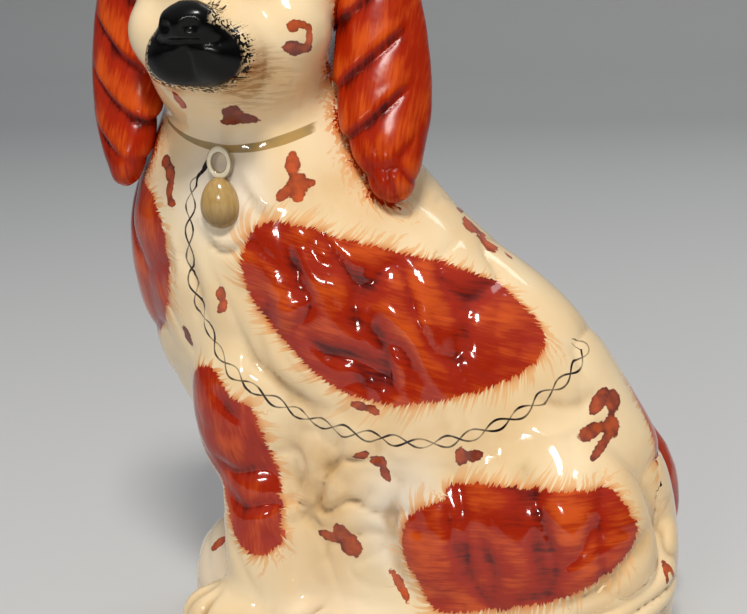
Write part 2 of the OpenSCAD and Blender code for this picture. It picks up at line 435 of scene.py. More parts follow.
def clay_tail(host):
    tail = skinned("tail", lambda bm: roll(bm, TAIL_LINE, TAIL_RADII), [(2.4, 5), (1.4, 3)])
    places = points_of(tail.data)
    normals = normals_of(tail.data)
    height = 4.0 * locks(places, -0.93, 7, 50, 41) * np.clip((84 - places[:, 2]) / 26, 0.1, 1)
    places += normals * height[:, None]
    places[:, 2] = np.maximum(places[:, 2], 0.2)
    move_points(tail.data, places)
    hugging(tail, host)
    return tail, height


def clay_padlock(host):
    """An egg with its narrow end up."""
    low, high = [np.array(corner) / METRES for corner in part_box("padlock")]
    middle = (low + high) / 2
    half = (high - low) / 2

    def lay(bm):
        lump(bm, (middle[0], low[1] + LOCK_DEEP, middle[2]), (half[0], LOCK_DEEP, half[2]))

    padlock = skinned("padlock", lay, [(0.7, 4)])
    places = points_of(padlock.data)
    share = (places[:, 2] - middle[2]) / half[2]
    places[:, 0] = middle[0] + (places[:, 0] - middle[0]) * (1.03 - 0.16 * share)
    move_points(padlock.data, places)
    hugging(padlock, host)
    return padlock


def clay_shackle(host):
    """A rolled loop above the padlock."""
    low, high = [np.array(corner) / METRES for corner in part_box("padlock_shackle")]
    middle = (low + high) / 2
    half = (high - low) / 2
    half[0] *= BOW_WIDTH
    middle[0] += BOW_SHIFT
    quarter = Matrix.Rotation(math.radians(90), 4, "X")
    bm = bmesh.new()
    start = Matrix.Translation((half[0] - WIRE, 0, 0)) @ quarter
    ring = bmesh.ops.create_circle(bm, segments=16, radius=WIRE, matrix=start)["verts"]
    bmesh.ops.spin(bm, geom=ring + edges_at(ring), cent=(0, 0, 0), axis=(0, 0, 1), angle=math.tau,
                   steps=48, use_merge=True)
    upright = Matrix.Translation((middle[0], low[1] + WIRE, middle[2]))
    upright = upright @ Matrix.Diagonal((1, 1, half[2] / half[0], 1)) @ quarter
    bmesh.ops.transform(bm, matrix=upright, verts=bm.verts)
    bmesh.ops.remove_doubles(bm, verts=bm.verts, dist=0.01)
    bmesh.ops.recalc_face_normals(bm, faces=bm.faces)
    shackle = piece_from("padlock_shackle", bm)
    hugging(shackle, host, 0.0)
    front = np.zeros((len(shackle.data.vertices), 3))
    front[:, 0] = -normals_of(shackle.data)[:, 1]
    write_fields(shackle.data, {"front": front})
    return shackle


# ------------------------------------------------------------------ where the paint goes
def looking(azimuth):
    """Right, up and towards the viewer, for a level look from that azimuth in degrees."""
    c, s = math.cos(math.radians(azimuth)), math.sin(math.radians(azimuth))
    return np.array([c, s, 0]), np.array([0.0, 0.0, 1.0]), np.array([s, -c, 0])


def laid_on(line, look, places, normals):
    """A flat line of (across, up) points laid on the surface as seen in a look."""
    right, up, toward = look
    facing = (normals @ toward) > 0.12
    low, high = line.min(0) - 6, line.max(0) + 6
    across, rise = places @ right, places @ up
    facing &= (across > low[0]) & (across < high[0]) & (rise > low[1]) & (rise < high[1])
    spots, depth = np.stack([across, rise], 1)[facing], (places @ toward)[facing]
    nearest = [((spots - point) ** 2).sum(1).argsort()[:4] for point in line]
    depths = np.array([depth[index].max() for index in nearest])
    depths = np.convolve(np.concatenate([depths[-2:], depths, depths[:2]]), np.ones(5) / 5, "valid")
    return line[:, :1] * right + line[:, 1:] * up + depths[:, None] * toward


def nearest_on(path, places):
    """For each place, the index of the nearest point of a dense path."""
    index = np.empty(len(places), int)
    for start in range(0, len(places), 4000):
        block = places[start:start + 4000]
        gone = (block ** 2).sum(1)[:, None] - 2 * block @ path.T + (path ** 2).sum(1)[None]
        index[start:start + 4000] = gone.argmin(1)
    return index


def within(flat, outline):
    """Whether each flat place lies inside a closed outline."""
    found = np.zeros(len(flat), bool)
    for (xa, ya), (xb, yb) in zip(outline, np.roll(outline, -1, 0)):
        if ya == yb:
            continue
        crossed = ((ya > flat[:, 1]) != (yb > flat[:, 1]))
        found ^= crossed & (flat[:, 0] < xa + (flat[:, 1] - ya) / (yb - ya) * (xb - xa))
    return found


def outline_field(outline, look, places, normals):
    """How far inside a closed outline each place is, and its spot along the outline as a ring."""
    right, up, toward = look
    path = laid_on(outline, look, places, normals)
    flat = np.stack([places @ right, places @ up], 1)
    step = np.roll(path, -1, 0) - np.roll(path, 1, 0)
    step /= np.linalg.norm(step, axis=1, keepdims=True)
    lengths = np.linalg.norm(np.roll(path, -1, 0) - path, axis=1)
    along = np.concatenate([[0], np.cumsum(lengths)[:-1]])
    index = nearest_on(path, places)
    gap = places - path[index]
    distance = np.linalg.norm(gap, axis=1)
    facing = normals @ toward
    flat_step = np.roll(outline, -1, 0) - np.roll(outline, 1, 0)
    flat_step /= np.linalg.norm(flat_step, axis=1, keepdims=True)
    flat_gap = flat - outline[index]
    flat_distance = np.abs(flat_gap[:, 0] * flat_step[index, 1] - flat_gap[:, 1] * flat_step[index, 0])
    flat_distance = flat_distance / np.clip(facing, 0.4, 1)
    blend = np.clip((distance - 3) / 3, 0, 1)
    distance = np.where(facing > 0, flat_distance * (1 - blend) + distance * blend, distance)
    same_face = (facing > 0.02) & (places @ toward > (path @ toward).min() - 20)
    inside = np.where(within(flat, outline) & same_face, distance, -distance)
    where = (along[index] + (gap * step[index]).sum(1)) / lengths.sum() * math.tau
    radius = lengths.sum() / math.tau
    ring = np.stack([np.cos(where), np.sin(where)], 1) * radius
    return inside, ring


# Outlines of the patches (across, up), each as seen from its own azimuth
NEAR_BODY = [(-39, 172), (-33, 177), (-20, 176), (-8, 172), (6, 168), (19, 164), (31, 160),
             (47, 152), (59, 142), (66, 133), (66, 127), (58, 121), (43, 116), (18, 112), (-1, 115),
             (-13, 122), (-22, 130), (-34, 144), (-41, 159)]
NEAR_HAUNCH = [(18, 58), (21, 66), (28, 71), (36, 74), (38, 79), (58, 80), (86, 80), (95, 80),
               (101, 72), (104, 65), (101, 57), (88, 47), (74, 41), (47, 34), (31, 33), (25, 42),
               (19, 51)]
FORELEG = [(-37, 117), (-28, 120), (-23, 115), (-19, 110), (-13, 107), (-10, 98), (-9, 84),
           (-7, 72), (-6, 60), (-6, 51), (-11, 47), (-18, 52), (-24, 62), (-31, 76), (-37, 90),
           (-41, 106)]
CHEST = [(-4, 190), (14, 191), (26, 186), (32, 174), (32, 164), (30, 149), (22, 136), (8, 129),
         (-12, 131), (-26, 143), (-32, 160), (-24, 180)]
RUMP = [(-12, 97), (-17, 86), (-21, 72), (-24, 58), (-19, 48), (-4, 44), (16, 48), (34, 60),
        (40, 80), (32, 100), (14, 112), (-2, 109)]
CROWN = [(45, 303), (32, 306), (16, 298), (6, 278), (8, 258), (22, 249), (35, 256), (43, 274),
         (46, 290)]
# Each patch: azimuth that it is seen from, angle of the brush, and its outline
PATCHES = [
    (0, -18, NEAR_BODY),
    (0, 4, NEAR_HAUNCH),
    (-30, 96, FORELEG),
    (-84, 90, CHEST),
    (98, 96, RUMP),
    (180, 12, [(-x + 4, z - 3) for x, z in NEAR_BODY]),
    (180, -6, [(-x + 2, z + 2) for x, z in NEAR_HAUNCH]),
    (212, 84, [(-x + 6, z + 2) for x, z in FORELEG]),
    (180, 80, CROWN),
    (180, 96, [(100 - x, z - 2) for x, z in CROWN]),
]

# Each dab: azimuth that it is seen from, how thick its paint is, and its strokes as
# (across, up, half length, half width, turn)
DABS = [
    (18, 0.3, [(-32.2, 251.2, 2.8, 2.4, 20), (-28.8, 251.4, 2.4, 1.3, -10),
               (-26.9, 247.4, 4.8, 1.3, 86)]),
    (18, 0.8, [(-32.6, 243.0, 4.4, 2.8, -4), (-28.6, 242.6, 2.6, 1.8, 20)]),
    (0, 0.5, [(-63.6, 225, 4.0, 2.0, -58)]),
    (0, 1.1, [(-42.6, 219.4, 4.2, 3.9, 0), (-39.6, 218.0, 5.4, 2.2, -14), (-45.4, 217.0, 3.4, 1.9, 8)]),
    (-10, 0.6, [(-70.8, 200, 3.0, 2.7, 80), (-67.4, 196, 3.8, 3.0, -70), (-67, 190, 5.0, 2.0, 85),
                (-65.8, 184.8, 2.7, 1.7, 0)]),
    (0, 0.4, [(-24, 199.8, 4.6, 2.8, -85), (-21.3, 192.6, 4.6, 3.9, -70), (-26.2, 189.6, 4.0, 2.3, 45),
              (-21.2, 187.4, 2.5, 1.9, 0), (-16.9, 192.6, 1.8, 1.4, 20)]),
    (0, 0.4, [(-53, 151, 3.4, 2.2, 75), (-53, 145.5, 3.6, 2.0, 55)]),
    (0, 1.1, [(-73, 131, 5.0, 2.0, -70)]),
    (0, 0.7, [(2, 109.5, 3.8, 2.0, -10), (7, 108, 3.8, 1.9, -24)]),
    (0, 0.7, [(2, 90, 3.8, 1.9, 20), (8.5, 88, 3.6, 2.2, 10), (11, 83.5, 4.2, 2.0, -70)]),
    (0, 0.8, [(40, 91, 2.4, 4.2, 0), (45, 91.5, 3.6, 2.5, 10)]),
    (0, 0.7, [(87, 107, 4.6, 2.6, 70), (91.5, 106, 4.2, 2.2, -70), (86, 98, 4.6, 2.8, 10),
              (92, 98, 4.4, 2.6, -70), (90, 93, 4.0, 1.8, 50)]),
    (10, 0.4, [(33, 171, 4.6, 1.5, -48), (40, 165, 5.6, 2.2, -46), (45, 163, 7.0, 1.1, -52),
               (37, 174, 5.0, 0.8, -50)]),
    (0, 0.6, [(-14, 54, 5.8, 2.6, -6), (-9, 57, 4.6, 3.6, 60), (-5, 52, 5.4, 4.6, -40)]),
    (-40, 0.3, [(-57.5, 30, 3.6, 2.0, 55)]),
    (0, 0.2, [(15, 38.5, 8.0, 2.0, -60)]),
    (60, 0.5, [(31, 44, 4.2, 1.2, 66), (34.5, 44, 4.2, 1.2, -72)]),
    (60, 0.5, [(30, 26, 4.0, 2.0, 40)]),
    (180, 0.6, [(40, 176, 4.8, 2.4, 60), (35, 171, 4.2, 2.2, 10)]),
    (180, 0.6, [(-30, 178, 4.8, 2.2, -50), (-36, 174, 4.2, 2.0, 0)]),
    (180, 0.5, [(-84, 104, 4.8, 2.6, 70), (-88, 97, 4.2, 2.2, 10)]),
    (180, 0.9, [(14, 60, 5.4, 3.0, 20), (9, 56, 4.6, 2.6, -60)]),
    (180, 0.4, [(-14, 96, 4.6, 2.2, -30), (-20, 93, 4.0, 2.0, 30)]),
    (180, 0.6, [(36, 214, 4.6, 2.2, 40)]),
    (180, 0.5, [(50, 286, 5.2, 2.8, 20), (44, 281, 4.2, 2.4, -50)]),
    (180, 0.8, [(64, 250, 4.6, 2.2, 70)]),
    (-90, 0.5, [(12, 96, 4.6, 2.0, 50), (16, 91, 3.8, 1.8, -20)]),
]
CHAIN = [(-55, 202), (-59, 198), (-63, 194), (-64.5, 188), (-65, 181), (-66, 170), (-66.5, 156),
         (-64, 143), (-58, 130), (-50, 121), (-41, 114), (-31, 108), (-17, 102), (-2, 99),
         (17, 96.5), (30, 96), (44, 99), (60, 106), (72, 114), (79.5, 121), (81.2, 126),
         (80.5, 131)]
CHAIN_REACH = 7.0          # the chain is looked for this far from its line
CHAIN_STARTS = 5.5         # bare length at the padlock
CHAIN_STOPS = 2.5          # bare length at the other end
CHAIN_LINK = 10.0          # length of one painted link
COLLAR_LOW = (-46, 206)    # lowest place of the collar line in the front view (x, z)
COLLAR_BEND = 0.0085       # how fast it rises to the sides
COLLAR_ENDS = (-80, -18)   # it is painted between these (x)
COLLAR_Y = -20             # and only nearer than this
MUZZLE_AT = np.array([-47.3, -80.0, 242.0])
MUZZLE_REACH = np.array([21.2, 24.0, 14.6])
NOSE_AT = np.array([-50.0, -80.0, 257.0])
NOSE_REACH = np.array([12.8, 20.0, 12.5])
MUZZLE_ROUND = 18.0        # radius that the muzzle's strokes are spread round
NOSE_ROUND = 13.0


def dab_field(places, normals):
    """Over 0 inside a dab of paint, further over it towards the middle, and how thick its paint is."""
    best = np.full(len(places), -3.0)
    load = np.full(len(places), 0.5)
    for azimuth, thick, strokes in DABS:
        right, up, toward = looking(azimuth)
        across, rise, facing = places @ right, places @ up, normals @ toward
        for a, b, half_long, half_wide, turn in strokes:
            c, s = math.cos(math.radians(turn)), math.sin(math.radians(turn))
            u = (across - a) * c + (rise - b) * s
            v = (rise - b) * c - (across - a) * s
            field = 1 - (u / half_long) ** 2 - (v / half_wide) ** 2
            field = np.where(facing > 0.05, field, -3)
            load = np.where(field > np.maximum(best, -2.5), thick, load)
            best = np.maximum(best, field)
    return best, load


def paint_fields(places, normals, relief, ears):
    """Everything that the paint needs to know at each place of the clay."""
    count = len(places)
    inside = np.full(count, NO_PAINT)
    ring = np.zeros((count, 2))
    brush = np.zeros((count, 2))
    for azimuth, brush_angle, outline in PATCHES:
        look = looking(azimuth)
        line = smooth_line(outline, 30, closed=True)
        depth, spot = outline_field(line, look, places, normals)
        c, s = math.cos(math.radians(brush_angle)), math.sin(math.radians(brush_angle))
        across, rise = places @ look[0], places @ look[1]
        strokes = np.stack([rise * c - across * s, across * c + rise * s], 1)
        better = depth > inside
        inside = np.where(better, depth, inside)
        ring = np.where(better[:, None], spot, ring)
        brush = np.where(better[:, None], strokes, brush)
    for tree in ears:
        for i in np.flatnonzero((places[:, 2] > 165) & (inside < 3)):
            spot, _, _, gone = tree.find_nearest(Vector(places[i]), 12)
            if spot is not None and 0.5 - gone > inside[i]:
                inside[i] = 0.5 - gone
                ring[i] = (spot.x * 0.7 + spot.y, (spot.z - 235) * 1.2)
    fields = {"patch": np.concatenate([ring, inside[:, None]], 1)}
    gone = (places - MUZZLE_AT) / MUZZLE_REACH
    spin = np.arctan2(gone[:, 2], gone[:, 0])
    depth = (1 - np.linalg.norm(gone, axis=1)) * MUZZLE_ROUND
    nose_gone = (places - NOSE_AT) / NOSE_REACH
    depth = np.maximum(depth, (1 - np.linalg.norm(nose_gone, axis=1)) * NOSE_ROUND)
    fields["muzzle"] = np.stack([np.cos(spin) * MUZZLE_ROUND, np.sin(spin) * MUZZLE_ROUND, depth], 1)
    dabs, load = dab_field(places, normals)
    collar_z = COLLAR_LOW[1] + COLLAR_BEND * (places[:, 0] - COLLAR_LOW[0]) ** 2
    collar = np.clip(places[:, 2] - collar_z, -12, 12)
    band = np.minimum(places[:, 0] - COLLAR_ENDS[0], COLLAR_ENDS[1] - places[:, 0])
    band = np.clip(np.minimum(band, COLLAR_Y - places[:, 1]) / 0.9 + 0.5, 0, 1)
    fields["load"] = np.stack([load, band, np.zeros(count)], 1)
    fields["marks"] = np.stack([dabs, collar, relief], 1)
    fields["chain"] = chain_field(places, normals)
    fields["brush"] = np.stack([brush[:, 0], brush[:, 1], np.zeros(count)], 1)
    fields["eye"] = eye_field(places)
    fields["tint"] = tint_field(places)
    return fields


def chain_field(places, normals):
    """Length along the painted chain, distance to its side, and 1 where it may be painted."""
    path = laid_on(smooth_line(CHAIN, 40), looking(0), places, normals)
    calm = 40
    window = np.ones(2 * calm + 1) / (2 * calm + 1)
    path[:, 1] = np.convolve(np.pad(path[:, 1], calm, "edge"), window, "valid")
    step = np.gradient(path, axis=0)
    lengths = np.linalg.norm(step, axis=1)
    step /= lengths[:, None]
    along = np.concatenate([[0], np.cumsum(np.linalg.norm(np.diff(path, axis=0), axis=1))])
    index = nearest_on(path, places)
    gap = places - path[index]
    aside = np.cross(step[index], normals)
    side = (gap * aside).sum(1)
    where = along[index] + (gap * step[index]).sum(1)
    close = np.linalg.norm(gap, axis=1) < CHAIN_REACH
    allowed = close & (where > CHAIN_STARTS) & (where < along[-1] - CHAIN_STOPS)
    side = np.where(close, side, np.where(side < 0, -20, 20))
    return np.stack([where, side, allowed.astype(float)], 1)


def tint_field(places):
    """Where the cream is painted darker and warmer for glaze pooling and painted shade between the legs
    and under the chin, where it is painted a cooler white, and brown breath strokes under the muzzle.
    """
    folded = np.stack([places[:, 0], np.abs(places[:, 1]), places[:, 2]], 1)
    # painted shade between the legs and under the chin, with glaze pooling, as a darker warmer cream
    pool_and_shade = 1.0 * near(folded, (-16, 46, 78), (30, 24, 36))
    pool_and_shade += 1.0 * near(places, (-26, -44, 228), (26, 40, 20))
    pool_and_shade += 0.7 * near(folded, (30, 50, 100), (60, 40, 18))
    pool_and_shade += 0.6 * near(folded, (-6, 40, 186), (40, 40, 22))
    pool_and_shade += 0.5 * near(folded, (104, 30, 60), (26, 40, 60))
    cool = 1.0 * near(folded, (18, 50, 66), (24, 24, 34))
    cool += 0.9 * near(places, (-76, 0, 20), (40, 40, 46))
    cool += 0.7 * near(places, (-80, 0, 176), (40, 60, 44))
    cool += 0.6 * near(folded, (-8, 50, 16), (44, 30, 24))
    cool += 1.2 * near(places, (-52, -50, 192), (28, 34, 30))
    under = near(places, (-33, -62, 232), (28, 30, 17)) * np.clip((places[:, 0] + 58) / 20, 0, 1)
    return np.stack([pool_and_shade, cool, under], 1)


def eye_field(places):
    """Place across and up from the middle of the eye on that side, and 1 on the front of the face."""
    out = np.where(places[:, 0] > -50, 1, -1)
    eye_x = np.where(places[:, 0] > -50, EYES[1][0], EYES[0][0])
    across, rise = (places[:, 0] - eye_x) * out, places[:, 2] - EYES[0][2]
    front = np.clip((-30 - places[:, 1]) / 4, 0, 1) * np.clip((places[:, 2] - 255) / 4, 0, 1)
    return np.stack([across, rise, front], 1)


def write_fields(mesh, fields):
    for name, values in fields.items():
        layer = mesh.attributes.new(name, "FLOAT_VECTOR", "POINT")
        layer.data.foreach_set("vector", values.astype(np.float32).ravel())


def plain_fields(places, relief, brush_angle=90.0, inside=NO_PAINT, dull=0.0):
    """Fields for a piece that is one colour all over."""
    count = len(places)
    c, s = math.cos(math.radians(brush_angle)), math.sin(math.radians(brush_angle))
    none = np.zeros(count)
    return {
        "patch": np.stack([none, none, none + inside], 1),
        "muzzle": np.stack([none, none, none + NO_PAINT], 1),
        "marks": np.stack([none - 3, none + 12, relief], 1),
        "chain": np.stack([none, none + 20, none], 1),
        "brush": np.stack([places[:, 2] * c - places[:, 0] * s,
                           places[:, 0] * c + places[:, 2] * s, none], 1),
        "eye": np.zeros((count, 3)),
        "tint": np.zeros((count, 3)),
        "load": np.stack([none + 0.5, none, none + dull], 1),
    }


# ------------------------------------------------------------------ finishes
class Finish:
    """A material and short names for the nodes that it is built from."""

    def __init__(self, name):
        self.material = bpy.data.materials.new(name)
        self.material.use_nodes = True
        self.tree = self.material.node_tree
        self.shader = self.tree.nodes["Principled BSDF"]

    def add(self, kind, **settings):
        made = self.tree.nodes.new(kind)
        for name, value in settings.items():
            setattr(made, name, value)
        return made

    def feed(self, socket, value):
        if isinstance(value, bpy.types.NodeSocket):
            self.tree.links.new(value, socket)
        else:
            socket.default_value = value

    def math(self, operation, first, second=0.0, third=0.5, clamp=False):
        made = self.add("ShaderNodeMath", operation=operation, use_clamp=clamp)
        for k, each in enumerate((first, second, third)):
            self.feed(made.inputs[k], each)
        return made.outputs[0]

    def ramp(self, value, low, high, out_low=0.0, out_high=1.0):
        """value from low to high becomes out_low to out_high, smoothly and held at the ends."""
        made = self.add("ShaderNodeMapRange", interpolation_type="SMOOTHSTEP")
        for k, each in enumerate((value, low, high, out_low, out_high)):
            self.feed(made.inputs[k], each)
        return made.outputs[0]

    def mix(self, share, first, second):
        made = self.add("ShaderNodeMix", data_type="RGBA")
        self.feed(made.inputs[0], share)
        self.feed(made.inputs[6], first)
        self.feed(made.inputs[7], second)
        return made.outputs[2]

    def split(self, vector):
        made = self.add("ShaderNodeSeparateXYZ")
        self.feed(made.inputs[0], vector)
        return made.outputs

    def parts(self, name):
        """The three numbers of one painted field."""
        source = self.add("ShaderNodeAttribute", attribute_name=name)
        return self.split(source.outputs["Vector"])

    def stretched(self, where, scale):
        made = self.add("ShaderNodeMapping")
        self.feed(made.inputs[0], where)
        self.feed(made.inputs["Scale"], scale)
        return made.outputs[0]

    def spot(self, x, y, z=0.0):
        made = self.add("ShaderNodeCombineXYZ")
        for k, each in enumerate((x, y, z)):
            self.feed(made.inputs[k], each)
        return made.outputs[0]

    def noise(self, where, scale, detail=2.0, rough=0.5):
        made = self.add("ShaderNodeTexNoise")
        self.feed(made.inputs["Vector"], where)
        self.feed(made.inputs["Scale"], scale)
        self.feed(made.inputs["Detail"], detail)
        self.feed(made.inputs["Roughness"], rough)
        return made.outputs[0]

    def places(self):
        return self.add("ShaderNodeTexCoord").outputs["Object"]

    def set(self, **values):
        for name, value in values.items():
            self.feed(self.shader.inputs[name.replace("_", " ")], value)


def colour(r, g, b):
    """A colour as the eye reads it, from 0 to 255, as the shader wants it."""
    return tuple((c / 255) ** 2.2 for c in (r, g, b)) + (1.0,)


CREAM = colour(241, 208, 159)
CREAM_LIGHT = colour(246, 220, 177)
# a darker warmer cream for glaze pooling and painted shade
CREAM_WARM_POOL_AND_SHADE = colour(218, 172, 112)
CREAM_COOL = colour(236, 224, 206)
# a brownish cream for glaze pooling and painted shade in the creases
CREAM_CREASE_POOL_AND_SHADE = colour(170, 130, 78)
RUSSET = colour(160, 38, 8)
# RUSSET_DARK also gives painted shade in the creases, RUSSET_LIGHT painted highlight on the ridge tops
RUSSET_DARK = colour(80, 14, 6)
RUSSET_LIGHT = colour(207, 82, 26)
FRINGE = colour(216, 128, 66)
FRINGE_THIN = colour(236, 178, 118)
HAIR = colour(150, 92, 48)
HAIR_THIN = colour(176, 134, 82)
DAB = colour(106, 14, 8)
CHAIN_INK = colour(36, 26, 22)
GILT = colour(176, 138, 74)
GILT_DULL = colour(146, 122, 78)
MUZZLE_BLACK = colour(6, 4, 3)
IRIS = colour(196, 138, 50)


def feathered(paint, ring_x, ring_y, inside, grain, long, slant, seed):
    """How much of a feathered edge covers a place: hair strokes that leave the outline."""
    turn = paint.math("MULTIPLY", inside, slant)
    c, s = paint.math("COSINE", turn), paint.math("SINE", turn)
    x = paint.math("SUBTRACT", paint.math("MULTIPLY", ring_x, c), paint.math("MULTIPLY", ring_y, s))
    y = paint.math("ADD", paint.math("MULTIPLY", ring_x, s), paint.math("MULTIPLY", ring_y, c))
    where = paint.spot(x, y, paint.math("MULTIPLY_ADD", inside, 0.06, seed))
    hairs = paint.noise(where, grain, 1.0)
    lengths = paint.noise(where, grain * 0.22, 1.0)
    reach = paint.ramp(lengths, 0.25, 0.75, long * 0.35, long)
    out = paint.math("DIVIDE", paint.math("MULTIPLY", inside, -1.0), reach)
    level = paint.math("SUBTRACT", paint.math("MULTIPLY", paint.math("SUBTRACT", hairs, 0.5), 2.6), out)
    return paint.ramp(level, -0.62, -0.32)


def glaze_ground(paint, where, relief):
    """The cream clay body under its lead glaze, painted darker and warmer for glaze pooling and painted
    shade in the hollows and creases.
    """
    pool_and_shade, cool, under = paint.parts("tint")
    clouds = paint.noise(where, 22.0, 3.0)
    tone = paint.mix(paint.ramp(clouds, 0.36, 0.64), CREAM, CREAM_LIGHT)
    mottle = paint.noise(where, 75.0, 3.0)
    # painted shade between the legs and under the chin, with glaze pooling: a darker, warmer cream
    pool_and_shade_share = paint.math("MULTIPLY", pool_and_shade, paint.ramp(mottle, 0.3, 0.7, 0.25, 0.8))
    tone = paint.mix(pool_and_shade_share, tone, CREAM_WARM_POOL_AND_SHADE)
    tone = paint.mix(paint.math("MULTIPLY", cool, 0.8, clamp=True), tone, CREAM_COOL)
    # painted shade in the creases, with glaze pooling there: a darker, browner cream
    creases = paint.ramp(relief, -0.2, -2.4)
    crease_pool_and_shade = paint.math("MULTIPLY", creases, paint.ramp(mottle, 0.3, 0.7, 0.3, 0.75))
    tone = paint.mix(crease_pool_and_shade, tone, CREAM_CREASE_POOL_AND_SHADE)
    combed = paint.stretched(where, (0.14, 0.14, 1.0))
    hairs = paint.ramp(paint.noise(combed, 850.0, 2.0), 0.46, 0.58)
    breath = paint.math("MULTIPLY", under, paint.math("MULTIPLY_ADD", hairs, 0.7, 0.5), clamp=True)
    return paint.mix(breath, tone, HAIR_THIN)


def russet_brushwork(paint, relief):
    """Iron red put on in washes along the brush, thicker and darker in the creases with painted shade
    there, and lighter on the ridge tops as a painted highlight.
    """
    across, along, _ = paint.parts("brush")
    streaks = paint.noise(paint.spot(across, paint.math("MULTIPLY", along, 0.09)), 0.95, 3.0, 0.6)
    washes = paint.noise(paint.spot(across, paint.math("MULTIPLY", along, 0.4)), 0.13, 2.0)
    # painted shade in the creases and painted highlight on the ridge tops, from the relief
    crease_shade_ridge_light = paint.ramp(relief, -2.6, 1.8, 0.85, -0.65)
    streaked = paint.ramp(streaks, 0.3, 0.7, -0.22, 0.26)
    washed = paint.ramp(washes, 0.3, 0.7, -0.36, 0.36)
    thick = paint.math("ADD", paint.math("ADD", streaked, washed), crease_shade_ridge_light)
    red = paint.mix(paint.ramp(thick, -1.0, 0.1), RUSSET_LIGHT, RUSSET)
    return paint.mix(paint.ramp(thick, 0.15, 1.3), red, RUSSET_DARK)


def chain_ink(paint):
    """A chain of links drawn as two crossing lines, from one thick stroke at the padlock."""
    chain_s, chain_d, chain_on = paint.parts("chain")
    links = paint.math("SINE", paint.math("MULTIPLY", chain_s, math.pi / CHAIN_LINK))
    sway = paint.ramp(paint.noise(paint.spot(chain_s, 0.0), 0.06, 1.0), 0.3, 0.7, 1.7, 2.3)
    sway = paint.math("MULTIPLY", sway, paint.ramp(chain_s, 12.0, 18.0))
    swing = paint.math("MULTIPLY", links, sway)
    start = paint.ramp(chain_s, 15.0, 11.0, 0.0, 0.3)
    ink = None
    for k, sign in enumerate((1.0, -1.0)):
        off = paint.math("ABSOLUTE", paint.math("SUBTRACT", chain_d, paint.math("MULTIPLY", swing, sign)))
        press = paint.noise(paint.spot(chain_s, 7.0 * k), 0.11, 2.0)
        wide = paint.math("ADD", paint.ramp(press, 0.35, 0.65, 0.27, 0.5), start)
        stroke = paint.ramp(paint.math("SUBTRACT", off, wide), 0.1, -0.1)
        stroke = paint.math("MULTIPLY", stroke, paint.ramp(press, 0.32, 0.6, 0.5, 1.0))
        ink = stroke if ink is None else paint.math("MAXIMUM", ink, stroke)
    return paint.math("MULTIPLY", ink, chain_on)


def painted_eye(paint, tone):
    """A ringed iris and pupil under a row of brow strokes."""
    across, rise, on_face = paint.parts("eye")
    out = paint.math("MULTIPLY", across, across)
    tall = paint.math("MULTIPLY", rise, 1.12)
    gone = paint.math("SQRT", paint.math("ADD", out, paint.math("MULTIPLY", tall, tall)))
    tone = paint.mix(paint.math("MULTIPLY", paint.ramp(gone, 6.3, 5.9), on_face), tone, CREAM_LIGHT)
    ring = paint.ramp(paint.math("ABSOLUTE", paint.math("SUBTRACT", gone, 6.2)), 0.75, 0.4)
    iris = paint.ramp(gone, 4.6, 4.3)
    pupil = paint.ramp(gone, 2.5, 2.2)
    tone = paint.mix(paint.math("MULTIPLY", iris, on_face), tone, IRIS)
    tone = paint.mix(paint.math("MULTIPLY", pupil, on_face), tone, MUZZLE_BLACK)
    tone = paint.mix(paint.math("MULTIPLY", ring, on_face), tone, MUZZLE_BLACK)
    lift = paint.math("SUBTRACT", rise, paint.math("MULTIPLY_ADD", out, -0.03, 11.5))
    slanted = paint.math("ADD", across, paint.math("MULTIPLY", rise, -0.4))
    hair = paint.noise(paint.spot(slanted, 0.0), 1.5, 1.0)
    brow = paint.math("ADD", paint.math("ABSOLUTE", lift), paint.math("MULTIPLY", hair, -3.2))
    brow = paint.math("MULTIPLY", paint.ramp(brow, 0.1, -0.3), paint.ramp(out, 90.0, 80.0))
    return paint.mix(paint.math("MULTIPLY", brow, on_face), tone, HAIR)


def patch_paint(paint, tone, relief):
    """The red patches, with a pale fringe of hair strokes round them."""
    ring_x, ring_y, inside = paint.parts("patch")
    fringe = feathered(paint, ring_x, ring_y, inside, 0.85, 15.0, 0.012, 3.0)
    fringe = paint.math("MULTIPLY", fringe, paint.ramp(inside, -12.0, -1.0, 0.4, 0.95))
    tone = paint.mix(fringe, tone, paint.mix(paint.ramp(inside, -5.0, -0.5), FRINGE_THIN, FRINGE))
    edge = feathered(paint, ring_x, ring_y, paint.math("ADD", inside, 0.6), 1.2, 3.0, 0.012, 9.0)
    return paint.mix(edge, tone, russet_brushwork(paint, relief))


def dab_paint(paint, where, tone, dabs, load):
    """Dabs of red, unevenly loaded and heavier at their rims."""
    wobble = paint.ramp(paint.noise(where, 380.0, 2.0), 0.3, 0.7, -0.22, 0.22)
    cover = paint.ramp(paint.math("ADD", dabs, wobble), -0.05, 0.14)
    uneven = paint.ramp(paint.noise(where, 240.0, 2.0), 0.3, 0.7, -0.25, 0.25)
    rim = paint.ramp(dabs, 0.7, 0.05, -0.1, 0.3)
    thick = paint.math("ADD", paint.math("ADD", load, uneven), rim, clamp=True)
    return paint.mix(paint.math("MULTIPLY", cover, 0.95), tone, paint.mix(thick, RUSSET_LIGHT, DAB))


